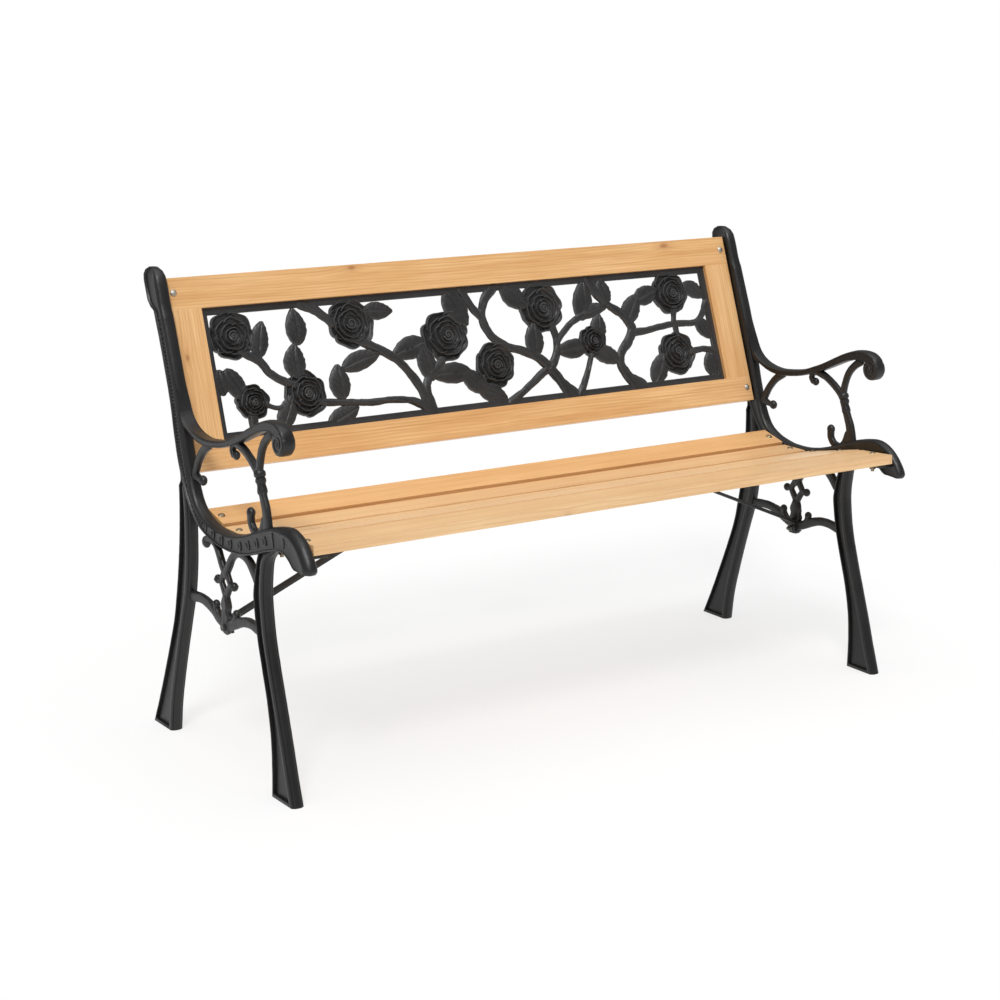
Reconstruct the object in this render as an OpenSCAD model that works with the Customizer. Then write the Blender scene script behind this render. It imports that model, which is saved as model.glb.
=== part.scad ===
// Garden bench: two cast-iron end frames, a slatted pine seat and a pine back
// frame that holds an openwork rose panel. Millimetres.
// +X runs along the bench to the right as seen from the front, +Y to the back, +Z up.
// The origin is on the ground, in the middle of the bench's length and depth.

/* [Bench] */
// Length over the two end frames.
bench_length = 1220; // [1180:5:1300]
// Thickness of an end frame, measured along the bench.
frame_depth = 22; // [20:1:26]
// Width of the struts and scrolls inside the frames, measured along the bench.
strut_depth = 10; // [8:1:14]

/* [Seat] */
// Thickness of the seat slats.
slat_thickness = 16; // [14:0.5:17]
// Gap between a slat or rail end and the end frame.
end_gap = 1; // [0.5:0.5:3]

/* [Back] */
// Thickness of the pine rails and stiles of the back.
back_thickness = 18; // [17.5:0.5:20]
// Height of the top rail.
top_rail_height = 53; // [50:1:56]
// Height of the bottom rail.
bottom_rail_height = 46; // [42:1:50]
// Height of the opening that the rose panel fills.
opening_height = 220; // [218:1:222]
// Width of each upright stile.
stile_width = 56; // [45:1:60]

/* [Rose panel] */
// Thickness of the panel's rim, branches and leaves.
panel_thickness = 7; // [6:0.5:8]
// How far the roses stand out in front of the rim.
rose_relief = 7; // [5:1:9]

/* [Fasteners] */
// Diameter of the carriage bolts.
bolt_diameter = 6; // [5:0.5:6]
// Diameter of the domed bolt heads.
bolt_head_diameter = 12; // [11:0.5:14]
// Diameter of the dowels in the corners of the back.
dowel_diameter = 8; // [6:1:8]

/* [Hidden] */
inner_face = bench_length / 2 - frame_depth;
strut_face = (frame_depth - strut_depth) / 2;
wood_length = 2 * (inner_face - end_gap);
bolt_inset = 12;
bolt_x = inner_face - bolt_inset;
hole_clearance = 0.5;
bolt_hole = bolt_diameter + 2 * hole_clearance;
curve_steps = 5;
fine = 48;

iron = [0.17, 0.17, 0.18];
pine = [0.86, 0.68, 0.45];
zinc = [0.72, 0.73, 0.74];
beech = [0.80, 0.66, 0.48];

// Seat slats from back to front: [rear edge y, rear edge z, tilt, width], where a
// positive tilt lowers the front edge.
slats = [
    [91, 399, 15, 53],
    [35, 381, 0, 58],
    [-31, 381, -12, 49],
    [-87, 393, -12, 79],
    [-172, 410, -4, 76],
];
ledge_reach = 28;
ledge_thickness = 6;
ledge_root = 5;

// The back leans on the plane through its bottom front edge.
back_lean = 20;
back_foot = [125, 452];
back_height = bottom_rail_height + opening_height + top_rail_height;
opening_width = wood_length - 2 * stile_width;
groove_depth = 8;
groove_front = 7;
groove_play = 0.2;
back_lug_thickness = 8;
back_lug_height = 30;
bottom_bolt_height = 25;
top_bolt_height = back_height - 25;

nut_thickness = 5;
nut_width = 10;
washer_thickness = 1.5;
washer_diameter = 14;
head_height = 3;
neck_width = 6;
neck_depth = 4;
thread_spare = 4;
dowel_length = 36;
dowel_play = 0.1;

// The brace runs from the stretcher's low point up to the underside of the second slat.
brace_y = 8;
brace_width = 14;
brace_thickness = 5;
brace_rise = 22.6;
brace_bolt_z = 226;
brace_tab = 36;
brace_low_tab = 10;
brace_screw_inset = 12;
brace_screw_pitch = 18;
brace_screw_diameter = 4;
brace_screw_length = 13;
slat_underside = slats[1][1] - slat_thickness;

// Side view of an end frame, as [y, z] points. Every member lies between two edges
// that have the same number of points.
band_back_edge = [
    [251, 752], [232, 705], [210, 650], [191, 600], [176, 555], [165, 510], [152, 468],
    [133, 428], [110, 396], [82, 374], [50, 363], [15, 357], [-25, 356], [-70, 361],
    [-115, 374], [-155, 387], [-185, 393], [-200, 391], [-210, 386], [-217, 381], [-222, 378],
];
band_front_edge = [
    [219, 752], [198, 700], [177, 647], [159, 600], [146, 557], [134, 515], [122, 475],
    [109, 440], [92, 411], [70, 396], [42, 387], [15, 384], [-22, 385], [-62, 393],
    [-105, 408], [-145, 422], [-182, 431], [-209, 432], [-236, 421], [-255, 401], [-267, 376],
];
rear_leg_back_edge = [
    [160, 490], [152, 450], [149, 415], [149, 380], [151, 340], [155, 300], [163, 250],
    [174, 200], [192, 150], [212, 100], [233, 50], [256, 0],
];
rear_leg_front_edge = [
    [140, 490], [130, 450], [124, 415], [120, 380], [119, 340], [120, 300], [127, 250],
    [142, 200], [157, 150], [171, 100], [183, 50], [189, 0],
];
front_leg_back_edge = [
    [-128, 398], [-115, 372], [-107, 345], [-102, 320], [-101, 300], [-110, 250],
    [-125, 200], [-141, 150], [-152, 100], [-156, 50], [-156, 0],
];
front_leg_front_edge = [
    [-176, 398], [-141, 372], [-133, 345], [-131, 320], [-132, 300], [-140, 250],
    [-155, 200], [-172, 150], [-189, 100], [-205, 50], [-222, 0],
];
arm_lower_edge = [
    [150, 560], [132, 530], [114, 522], [86, 512], [57, 509], [28, 512], [2, 517], [-24, 525],
    [-50, 534], [-80, 547], [-110, 560], [-136, 568], [-158, 569], [-174, 563], [-182, 552],
];
arm_upper_edge = [
    [166, 612], [150, 572], [133, 543], [106, 527], [68, 521], [32, 524], [-2, 530], [-30, 540],
    [-57, 551], [-88, 566], [-117, 579], [-145, 587], [-171, 587], [-190, 578], [-199, 560],
];
cap_outline = [
    [232, 703], [251, 712], [263, 738], [269, 758], [262, 767], [250, 772], [236, 770],
    [225, 762], [218, 748], [199, 702],
];
scroll_centre = [-180, 557];
scroll_radius = 18;

// Ribbons inside the frame, as [y, z, width] points.
rear_arm_strut = [[58, 512, 15], [80, 497, 14], [96, 479, 13], [106, 462, 14], [116, 449, 17]];
arm_knob_neck = [[104, 453, 12], [84, 448, 9]];
middle_arm_strut = [[-36, 531, 12], [-59, 524, 12], [-80, 513, 12], [-93, 504, 13], [-104, 496, 14]];
hanging_curl = [[-42, 532, 9], [-27, 528, 8], [-19, 518, 7], [-26, 508, 7]];
front_arm_strut = [[-146, 568, 14], [-130, 556, 12], [-116, 540, 11], [-109, 520, 11], [-104, 496, 14]];
arm_post = [[-103, 503, 16], [-109, 482, 15], [-117, 464, 15], [-125, 447, 17], [-129, 431, 20], [-131, 410, 26]];
post_curl = [[-77, 430, 12], [-78, 415, 13], [-88, 404, 13], [-103, 403, 12], [-115, 412, 12], [-122, 428, 12]];
collar_beads = [[-103, 502, 22], [-106, 491, 24], [-110, 480, 21], [-114, 471, 18]];
collar_bead_height = 7;

// The ornament between the legs is the same on both sides of its middle line.
ornament_y = brace_y;
stretcher_half = [[0, 227, 18], [20, 233, 18], [40, 243, 17], [62, 250, 16], [88, 252, 16], [118, 248, 18]];
finger = [[10, 228, 12], [24, 238, 10], [34, 254, 11]];
pillar = [[0, 226, 26], [0, 250, 21], [0, 268, 24], [0, 282, 22]];
diamond_half = [[0, 277, 12], [18, 298, 9], [0, 320, 12]];
side_knob = [27, 298];
rear_branch = [[0, 312, 12], [13, 328, 12], [24, 345, 12], [40, 357, 12], [56, 358, 12], [66, 352, 12]];
front_branch = [
    [0, 312, 12], [-12, 330, 12], [-24, 345, 12], [-40, 355, 12], [-60, 357, 13],
    [-80, 350, 15], [-96, 337, 17], [-106, 324, 14],
];
stretcher_lug_radius = 11;
knob_radius = 8;

// Flat faces of the frame are cut back inside these rims.
leg_rim = 4;
leg_recess = 5;
foot_rim = 7;
band_rim_back = 6;
band_rim_front = 10;
band_recess = 4;
bead_radius = 4;
bead_height = 3;
nose_points = 5;

// Rose panel layout in the plane of the back: x from the middle, y up from the opening.
// It is drawn for an opening of this width, and spread out to suit any other.
layout_width = 1062;
spread = opening_width / layout_width;
panel_rim = 12;
roses = [
    [-482, 171, 41], [-464, 58, 30], [-363, 62, 39], [-254, 173, 44], [-70, 135, 46],
    [24, 76, 40], [143, 170, 46], [243, 98, 30], [441, 175, 40], [432, 61, 40],
];
petal_rings = [[1, 5, 0.45], [0.76, 5, 0.7], [0.5, 4, 0.88], [0.26, 3, 1]];
// Leaves: [x, y, length, width, direction of the tip].
leaves = [
    [-430, 160, 66, 34, 75], [-361, 176, 66, 38, 90], [-371, 118, 62, 40, 86],
    [-487, 88, 68, 34, -62], [-514, 95, 46, 34, -85], [-294, 75, 64, 39, 90],
    [-246, 107, 82, 35, 14], [-297, 18, 70, 35, 22], [-404, 34, 64, 33, 62],
    [-196, 191, 60, 32, -5], [-147, 121, 74, 41, 195], [-117, 94, 74, 36, 100],
    [-37, 182, 76, 46, -62], [-70, 68, 88, 38, 178], [-21, 49, 66, 36, -40],
    [9, 24, 62, 34, -20], [91, 193, 70, 40, -38], [117, 114, 66, 38, 84],
    [237, 176, 78, 42, 76], [288, 190, 54, 33, 100], [256, 154, 78, 26, 12],
    [261, 124, 56, 34, 76], [196, 92, 76, 36, 184], [271, 69, 68, 34, -22],
    [346, 152, 68, 38, 55], [385, 176, 60, 36, 18], [500, 176, 56, 32, -32],
    [507, 102, 50, 30, -58], [384, 36, 66, 38, 60], [510, 34, 52, 34, 90],
];
// Branches, as [x, y, width] points.
branches = [
    [[-471, 143, 16], [-438, 124, 16], [-423, 103, 16], [-398, 86, 16], [-378, 78, 16]],
    [[-345, 214, 20], [-315, 199, 18], [-289, 176, 17]],
    [[-255, 148, 18], [-208, 124, 18], [-173, 101, 17], [-148, 68, 17], [-132, 36, 20], [-125, 6, 26]],
    [[-333, 44, 15], [-293, 40, 14], [-243, 35, 13], [-193, 35, 13], [-158, 29, 14], [-129, 12, 18]],
    [[-443, 53, 12], [-418, 43, 12], [-393, 50, 12]],
    [[-466, 43, 18], [-471, 6, 18]],
    [[-123, 6, 26], [-127, 40, 19], [-120, 62, 17], [-103, 76, 17], [-85, 94, 17]],
    [[-21, 214, 18], [-5, 184, 15], [15, 158, 16]],
    [[49, 214, 20], [23, 190, 18], [14, 161, 18], [23, 132, 18], [52, 108, 18], [92, 93, 18],
        [121, 77, 20], [140, 58, 22], [157, 32, 22], [179, 6, 30]],
    [[137, 60, 18], [102, 40, 15], [69, 20, 15], [41, 6, 18]],
    [[139, 56, 18], [158, 82, 16], [164, 110, 16], [159, 138, 16]],
    [[165, 106, 14], [197, 132, 14], [232, 150, 14], [269, 162, 14]],
    [[195, 6, 18], [215, 36, 12], [237, 76, 12]],
    [[257, 214, 24], [273, 186, 20], [293, 164, 18], [322, 143, 19], [338, 116, 21], [325, 94, 20],
        [305, 74, 20], [298, 52, 20], [311, 26, 22], [335, 6, 32]],
    [[337, 106, 16], [387, 111, 14], [437, 116, 14], [489, 115, 14], [511, 132, 15], [524, 150, 16]],
    [[437, 116, 13], [445, 148, 13]],
    [[439, 116, 13], [441, 90, 13]],
    [[465, 60, 14], [497, 63, 13], [524, 56, 15]],
];

// ---------------------------------------------------------------- curves

function flat(p) = [p[0], p[1]];

function turned(points) = [for (i = [len(points) - 1:-1:0]) points[i]];

function spline_point(a, b, c, d, t) =
    0.5 * (2 * b + (c - a) * t + (2 * a - 5 * b + 4 * c - d) * t * t + (3 * b - a - 3 * c + d) * t * t * t);

// A smooth curve through the given points.
function spline(points) = [
    for (i = [0:len(points) - 2])
        for (s = [0:curve_steps - 1])
            spline_point(
                points[max(i - 1, 0)], points[i], points[i + 1],
                points[min(i + 2, len(points) - 1)], s / curve_steps
            ),
    points[len(points) - 1],
];

// The edge a, moved by a distance towards the edge b.
function inset(a, b, distance) = [
    for (i = [0:len(a) - 1]) a[i] + distance * (b[i] - a[i]) / norm(b[i] - a[i])
];

function part_of(points, first, last) = [for (i = [first:last]) points[i]];

// The area between two edges, with each edge moved inwards.
module strip(a, b, inset_a = 0, inset_b = 0) {
    curve_a = spline(a);
    curve_b = spline(b);
    polygon(concat(inset(curve_a, curve_b, inset_a), turned(inset(curve_b, curve_a, inset_b))));
}

// A band of changing width along a curve.
module ribbon(knots) {
    line = spline(knots);
    last = len(line) - 1;
    side = [
        for (i = [0:last])
            let (d = flat(line[min(i + 1, last)]) - flat(line[max(i - 1, 0)]))
                [-d[1], d[0]] / norm(d) * line[i][2] / 2
    ];
    polygon(concat(
        [for (i = [0:last]) flat(line[i]) + side[i]],
        [for (i = [last:-1:0]) flat(line[i]) - side[i]]
    ));
}

module disc(centre, radius) {
    translate(flat(centre)) circle(radius, $fn = fine);
}

// ---------------------------------------------------------------- frame of the casting

// Puts a side view between two depths, counted from the frame's inner face outwards.
module plate(from, to) {
    translate([inner_face + from, 0, 0])
        rotate([90, 0, 90])
            linear_extrude(to - from) children();
}

module strut_plate() {
    plate(strut_face, strut_face + strut_depth) children();
}

module legs_outline() {
    strip(rear_leg_back_edge, rear_leg_front_edge);
    strip(front_leg_back_edge, front_leg_front_edge);
}

// The sunk faces of the legs stop short of the foot and of the seat rail.
module legs_recess_outline() {
    intersection() {
        union() {
            strip(rear_leg_back_edge, rear_leg_front_edge, leg_rim, leg_rim);
            strip(front_leg_back_edge, front_leg_front_edge, leg_rim, leg_rim);
        }
        translate([-bench_length, foot_rim]) square([2 * bench_length, 350]);
    }
}

module legs() {
    difference() {
        plate(0, frame_depth) legs_outline();
        plate(-1, leg_recess) legs_recess_outline();
        plate(frame_depth - leg_recess, frame_depth + 1) legs_recess_outline();
    }
}

band_last = len(band_back_edge) - 1;
band_groove_last = band_last - nose_points;

module band_outline() {
    strip(band_back_edge, band_front_edge);
    polygon(spline(cap_outline));
}

// The sunk face of the stile and seat rail, and the plain panel of the nose.
module band_groove_outline() {
    strip(
        part_of(band_back_edge, 0, band_groove_last), part_of(band_front_edge, 0, band_groove_last),
        band_rim_back, band_rim_front
    );
    strip(
        part_of(band_back_edge, band_groove_last + 1, band_last - 1),
        part_of(band_front_edge, band_groove_last + 1, band_last - 1),
        band_rim_back, band_rim_front
    );
}

// Points along the middle of the groove.
groove_middle = [
    for (i = [0:band_groove_last - 1])
        for (t = [0.25, 0.75])
            let (
                a = band_back_edge[i] * (1 - t) + band_back_edge[i + 1] * t,
                b = band_front_edge[i] * (1 - t) + band_front_edge[i + 1] * t,
                across = (b - a) / norm(b - a)
            )
                (a + band_rim_back * across + b - band_rim_front * across) / 2
];

module groove_beads() {
    for (p = groove_middle)
        translate([inner_face + frame_depth - band_recess, p[0], p[1]])
            rotate([0, 90, 0])
                cylinder(h = bead_height, r1 = bead_radius, r2 = bead_radius - 1, $fn = fine);
}

module band() {
    difference() {
        plate(0, frame_depth) band_outline();
        plate(frame_depth - band_recess, frame_depth + 1) band_groove_outline();
    }
    groove_beads();
}

module arm() {
    plate(0, frame_depth) {
        strip(arm_lower_edge, arm_upper_edge);
        disc(scroll_centre, scroll_radius);
    }
    strut_plate() {
        ribbon(rear_arm_strut);
        ribbon(arm_knob_neck);
        disc(arm_knob_neck[1], knob_radius);
        ribbon(middle_arm_strut);
        ribbon(hanging_curl);
        disc([-30, 511], knob_radius);
        ribbon(front_arm_strut);
        ribbon(arm_post);
        ribbon(post_curl);
        disc(post_curl[0], knob_radius + 1);
    }
}

// Raised rings round the top of the arm post.
module arm_collar() {
    lean = atan2(collar_beads[0][0] - collar_beads[3][0], collar_beads[0][1] - collar_beads[3][1]);
    for (bead = collar_beads)
        translate([inner_face + frame_depth / 2, bead[0], bead[1]])
            rotate([-lean, 0, 0])
                cylinder(h = collar_bead_height, d = bead[2] - 4, center = true, $fn = fine);
}

module leg_ornament() {
    strut_plate()
        translate([ornament_y, 0]) {
            for (side = [-1, 1])
                scale([side, 1]) {
                    ribbon(stretcher_half);
                    ribbon(finger);
                    disc(finger[2], knob_radius - 1);
                    ribbon(diamond_half);
                    disc(side_knob, knob_radius);
                    ribbon([[16, 298, 12], [26, 298, 12]]);
                }
            ribbon(pillar);
            ribbon(rear_branch);
            disc(rear_branch[5], knob_radius + 1);
            ribbon(front_branch);
            disc([0, brace_bolt_z], stretcher_lug_radius);
        }
}

// Turns to a slat's own axes: x along the bench, y from its rear edge to the back,
// z up from its top face.
module on_slat(slat) {
    translate([0, slat[0], slat[1]]) rotate([slat[2], 0, 0]) children();
}

// Turns to the back's own axes: y into the wood from its front face, z up along it.
module on_back() {
    translate([0, back_foot[0], back_foot[1]]) rotate([-back_lean, 0, 0]) children();
}

module slat_ledges() {
    for (slat = slats)
        on_slat(slat)
            translate([inner_face - ledge_reach, 3 - slat[3], -slat_thickness - ledge_thickness])
                cube([ledge_reach + ledge_root, slat[3] - 6, ledge_thickness]);
}

module back_lugs() {
    for (height = [bottom_bolt_height, top_bolt_height])
        on_back()
            translate([inner_face - ledge_reach, back_thickness, height - back_lug_height / 2])
                cube([ledge_reach + ledge_root, back_lug_thickness, back_lug_height]);
}

module frame_bolt_holes() {
    reach = 60;
    for (slat = slats)
        on_slat(slat)
            translate([bolt_x, -slat[3] / 2, -reach])
                cylinder(h = reach, d = bolt_hole, $fn = fine);
    for (height = [bottom_bolt_height, top_bolt_height])
        on_back()
            translate([bolt_x, 0, height])
                rotate([-90, 0, 0]) cylinder(h = reach, d = bolt_hole, $fn = fine);
    translate([inner_face - 1, brace_y, brace_bolt_z])
        rotate([0, 90, 0]) cylinder(h = frame_depth + 2, d = bolt_hole, $fn = fine);
}

module end_frame() {
    color(iron)
        difference() {
            union() {
                legs();
                band();
                arm();
                arm_collar();
                leg_ornament();
                slat_ledges();
                back_lugs();
            }
            frame_bolt_holes();
        }
}

module right_end_frame() { end_frame(); }
module left_end_frame() { mirror([1, 0, 0]) end_frame(); }

// ---------------------------------------------------------------- seat

module both_ends() {
    for (side = [0, 1]) mirror([side, 0, 0]) children();
}

module bolt_hole_in_wood(depth) {
    translate([0, 0, -depth - 1]) cylinder(h = depth + 2, d = bolt_hole, $fn = fine);
    neck = neck_width + 2 * hole_clearance;
    translate([-neck / 2, -neck / 2, -neck_depth - hole_clearance]) cube([neck, neck, neck_depth + 2]);
}

module seat_slat(slat) {
    color(pine)
        on_slat(slat)
            difference() {
                translate([-wood_length / 2, -slat[3], -slat_thickness])
                    cube([wood_length, slat[3], slat_thickness]);
                both_ends() translate([bolt_x, -slat[3] / 2, 0]) bolt_hole_in_wood(slat_thickness);
                if (slat == slats[1]) brace_screw_holes();
            }
}

module seat_slat_1() { seat_slat(slats[0]); }
module seat_slat_2() { seat_slat(slats[1]); }
module seat_slat_3() { seat_slat(slats[2]); }
module seat_slat_4() { seat_slat(slats[3]); }
module seat_slat_5() { seat_slat(slats[4]); }

// ---------------------------------------------------------------- back

// Bolt holes run from the front face straight into the wood.
module back_bolt_holes(height) {
    both_ends()
        translate([bolt_x, 0, height]) rotate([90, 0, 0]) bolt_hole_in_wood(back_thickness);
}

// The groove that holds the panel's rim on all four sides.
module panel_groove() {
    translate([
        -opening_width / 2 - groove_depth,
        groove_front,
        bottom_rail_height - groove_depth
    ])
        cube([
            opening_width + 2 * groove_depth,
            panel_thickness + groove_play,
            opening_height + 2 * groove_depth
        ]);
}

module at_each_dowel() {
    for (x = [opening_width / 2 + stile_width * 0.3, opening_width / 2 + stile_width * 0.7])
        for (z = [bottom_rail_height, bottom_rail_height + opening_height])
            both_ends() translate([x, back_thickness / 2, z]) children();
}

module dowel_holes() {
    at_each_dowel()
        cylinder(h = dowel_length + 2, d = dowel_diameter + 2 * dowel_play, center = true, $fn = fine);
}

module back_piece(x, z, width, height) {
    color(pine)
        on_back()
            difference() {
                translate([x, 0, z]) cube([width, back_thickness, height]);
                panel_groove();
                dowel_holes();
                back_bolt_holes(bottom_bolt_height);
                back_bolt_holes(top_bolt_height);
            }
}

module back_bottom_rail() {
    back_piece(-wood_length / 2, 0, wood_length, bottom_rail_height);
}

module back_top_rail() {
    back_piece(-wood_length / 2, back_height - top_rail_height, wood_length, top_rail_height);
}

module back_left_stile() {
    back_piece(-wood_length / 2, bottom_rail_height, stile_width, opening_height);
}

module back_right_stile() {
    back_piece(opening_width / 2, bottom_rail_height, stile_width, opening_height);
}

module back_dowels() {
    color(beech)
        on_back()
            at_each_dowel() cylinder(h = dowel_length, d = dowel_diameter, center = true, $fn = fine);
}

// ---------------------------------------------------------------- rose panel

// A pointed leaf, where two equal arcs meet.
module leaf_outline(leaf) {
    half_length = leaf[2] / 2;
    half_width = leaf[3] / 2;
    radius = (half_length * half_length + half_width * half_width) / (2 * half_width);
    translate([spread * leaf[0], leaf[1]])
        rotate(leaf[4])
            intersection_for (side = [-1, 1])
                translate([0, side * (radius - half_width)]) circle(radius, $fn = 2 * fine);
}

module panel_outline() {
    difference() {
        translate([-opening_width / 2 - groove_depth, -groove_depth])
            square([opening_width + 2 * groove_depth, opening_height + 2 * groove_depth]);
        translate([-opening_width / 2 + panel_rim, panel_rim])
            square([opening_width - 2 * panel_rim, opening_height - 2 * panel_rim]);
    }
    intersection() {
        union() {
            for (leaf = leaves) leaf_outline(leaf);
            for (branch = branches) ribbon([for (p = branch) [spread * p[0], p[1], p[2]]]);
        }
        translate([-opening_width / 2, 0]) square([opening_width, opening_height]);
    }
}

// One ring of round petals: size and height are shares of the whole rose.
module petal_ring(rose, ring, turn) {
    size = rose[2] * ring[0];
    linear_extrude(panel_thickness + rose_relief * ring[2])
        for (i = [0:ring[1] - 1])
            rotate(turn + i * 360 / ring[1])
                translate([size * 0.42, 0]) circle(size * 0.58, $fn = fine);
}

module rose(rose) {
    translate([spread * rose[0], rose[1]])
        for (i = [0:len(petal_rings) - 1]) petal_ring(rose, petal_rings[i], i * 33);
}

// Lies flat and is then stood up in the groove, with the roses to the front.
module rose_panel() {
    color(iron)
        on_back()
            translate([0, groove_front + panel_thickness, bottom_rail_height])
                rotate([90, 0, 0]) {
                    linear_extrude(panel_thickness) panel_outline();
                    for (r = roses) rose(r);
                }
}

// ---------------------------------------------------------------- braces

brace_start = -inner_face - strut_face;
brace_run = (slat_underside - brace_thickness - brace_bolt_z - brace_low_tab) / tan(brace_rise);

// A flat bar with a tab at each end, seen from the front.
module brace_outline() {
    top = slat_underside;
    x0 = brace_start;
    x1 = x0 + brace_run;
    bend = brace_thickness * tan(brace_rise / 2);
    polygon([
        [x0, brace_bolt_z - brace_low_tab],
        [x0 + brace_thickness, brace_bolt_z - brace_low_tab],
        [x0 + brace_thickness, brace_bolt_z + brace_low_tab],
        [x1 + bend, top - brace_thickness],
        [x1 + brace_tab, top - brace_thickness],
        [x1 + brace_tab, top],
        [x1, top],
        [x0, brace_bolt_z + brace_low_tab + brace_thickness],
    ]);
}

module left_seat_brace() {
    color(iron)
        difference() {
            translate([0, brace_y + brace_width / 2, 0])
                rotate([90, 0, 0]) linear_extrude(brace_width) brace_outline();
            translate([brace_start - 1, brace_y, brace_bolt_z])
                rotate([0, 90, 0])
                    cylinder(h = brace_thickness + 2, d = bolt_hole, $fn = fine);
            at_brace_screws()
                translate([0, 0, -brace_thickness - 1])
                    cylinder(h = brace_thickness + 2, d = brace_screw_diameter + 2 * hole_clearance, $fn = fine);
        }
}

module right_seat_brace() { mirror([1, 0, 0]) left_seat_brace(); }

// The two screw places of the left brace, at the underside of the slat.
module at_brace_screws() {
    for (i = [0, 1])
        translate([brace_start + brace_run + brace_screw_inset + i * brace_screw_pitch, brace_y, slat_underside])
            children();
}

// Pilot holes in the second slat, in that slat's own axes.
module brace_screw_holes() {
    both_ends()
        translate([0, -slats[1][0], -slats[1][1]])
            at_brace_screws()
                translate([0, 0, -1])
                    cylinder(h = brace_screw_length, d = brace_screw_diameter, $fn = fine);
}

// ---------------------------------------------------------------- fasteners

// A carriage bolt with its head on z = 0 and its shank going down.
module carriage_bolt(grip) {
    length = grip + washer_thickness + nut_thickness + thread_spare;
    ball = (bolt_head_diameter * bolt_head_diameter / 4 + head_height * head_height) / (2 * head_height);
    intersection() {
        translate([0, 0, head_height - ball]) sphere(ball, $fn = fine);
        cylinder(h = head_height + 1, d = bolt_head_diameter, $fn = fine);
    }
    translate([-neck_width / 2, -neck_width / 2, -neck_depth])
        cube([neck_width, neck_width, neck_depth + 0.5]);
    translate([0, 0, -length]) cylinder(h = length + 0.5, d = bolt_diameter, $fn = fine);
}

module washer(grip) {
    translate([0, 0, -grip - washer_thickness])
        difference() {
            cylinder(h = washer_thickness, d = washer_diameter, $fn = fine);
            translate([0, 0, -1]) cylinder(h = washer_thickness + 2, d = bolt_hole, $fn = fine);
        }
}

module nut(grip) {
    translate([0, 0, -grip - washer_thickness - nut_thickness])
        difference() {
            cylinder(h = nut_thickness, d = nut_width / cos(30), $fn = 6);
            translate([0, 0, -1]) cylinder(h = nut_thickness + 2, d = bolt_diameter, $fn = fine);
        }
}

module at_seat_bolts() {
    for (slat = slats)
        both_ends() on_slat(slat) translate([bolt_x, -slat[3] / 2, 0]) children();
}

module at_back_bolts() {
    for (height = [bottom_bolt_height, top_bolt_height])
        both_ends() on_back() translate([bolt_x, 0, height]) rotate([90, 0, 0]) children();
}

// The heads are on the outside of the stretchers, the nuts on the braces.
module at_brace_bolts() {
    both_ends()
        translate([inner_face + strut_face + strut_depth, brace_y, brace_bolt_z])
            rotate([0, 90, 0]) children();
}

seat_grip = slat_thickness + ledge_thickness;
back_grip = back_thickness + back_lug_thickness;
brace_grip = brace_thickness + strut_depth;

module seat_bolts() { color(zinc) at_seat_bolts() carriage_bolt(seat_grip); }
module seat_bolt_washers() { color(zinc) at_seat_bolts() washer(seat_grip); }
module seat_bolt_nuts() { color(zinc) at_seat_bolts() nut(seat_grip); }
module back_bolts() { color(zinc) at_back_bolts() carriage_bolt(back_grip); }
module back_bolt_washers() { color(zinc) at_back_bolts() washer(back_grip); }
module back_bolt_nuts() { color(zinc) at_back_bolts() nut(back_grip); }
module brace_bolt_washers() { color(zinc) at_brace_bolts() washer(brace_grip); }
module brace_bolt_nuts() { color(zinc) at_brace_bolts() nut(brace_grip); }

// A hexagon-head bolt through the brace and the stretcher.
module brace_bolts() {
    length = brace_grip + washer_thickness + nut_thickness + thread_spare;
    color(zinc)
        at_brace_bolts() {
            cylinder(h = head_height + 1, d = nut_width / cos(30), $fn = 6);
            translate([0, 0, -length]) cylinder(h = length + 0.5, d = bolt_diameter, $fn = fine);
        }
}

// Round-head wood screws from below, through the braces into the second slat.
module brace_screws() {
    color(zinc)
        both_ends()
            at_brace_screws()
                translate([0, 0, -brace_thickness]) {
                    translate([0, 0, -2]) cylinder(h = 2, d = 2 * brace_screw_diameter, $fn = fine);
                    translate([0, 0, -0.5])
                        cylinder(h = brace_screw_length, d = brace_screw_diameter, $fn = fine);
                }
}

// ---------------------------------------------------------------- drawing

left_end_frame();
right_end_frame();
seat_slat_1();
seat_slat_2();
seat_slat_3();
seat_slat_4();
seat_slat_5();
back_top_rail();
back_bottom_rail();
back_left_stile();
back_right_stile();
back_dowels();
rose_panel();
left_seat_brace();
right_seat_brace();
seat_bolts();
seat_bolt_washers();
seat_bolt_nuts();
back_bolts();
back_bolt_washers();
back_bolt_nuts();
brace_bolts();
brace_bolt_washers();
brace_bolt_nuts();
brace_screws();
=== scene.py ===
# Looks of a garden bench: sculpted cast-iron end frames and rose panel, and grain,
# paint and zinc for the parts that keep their CAD shape. Lengths are in millimetres
# until a mesh is finished, and in metres after that.
import math
import random

import bmesh
import bpy
from mathutils import Matrix, Vector, noise


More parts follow.
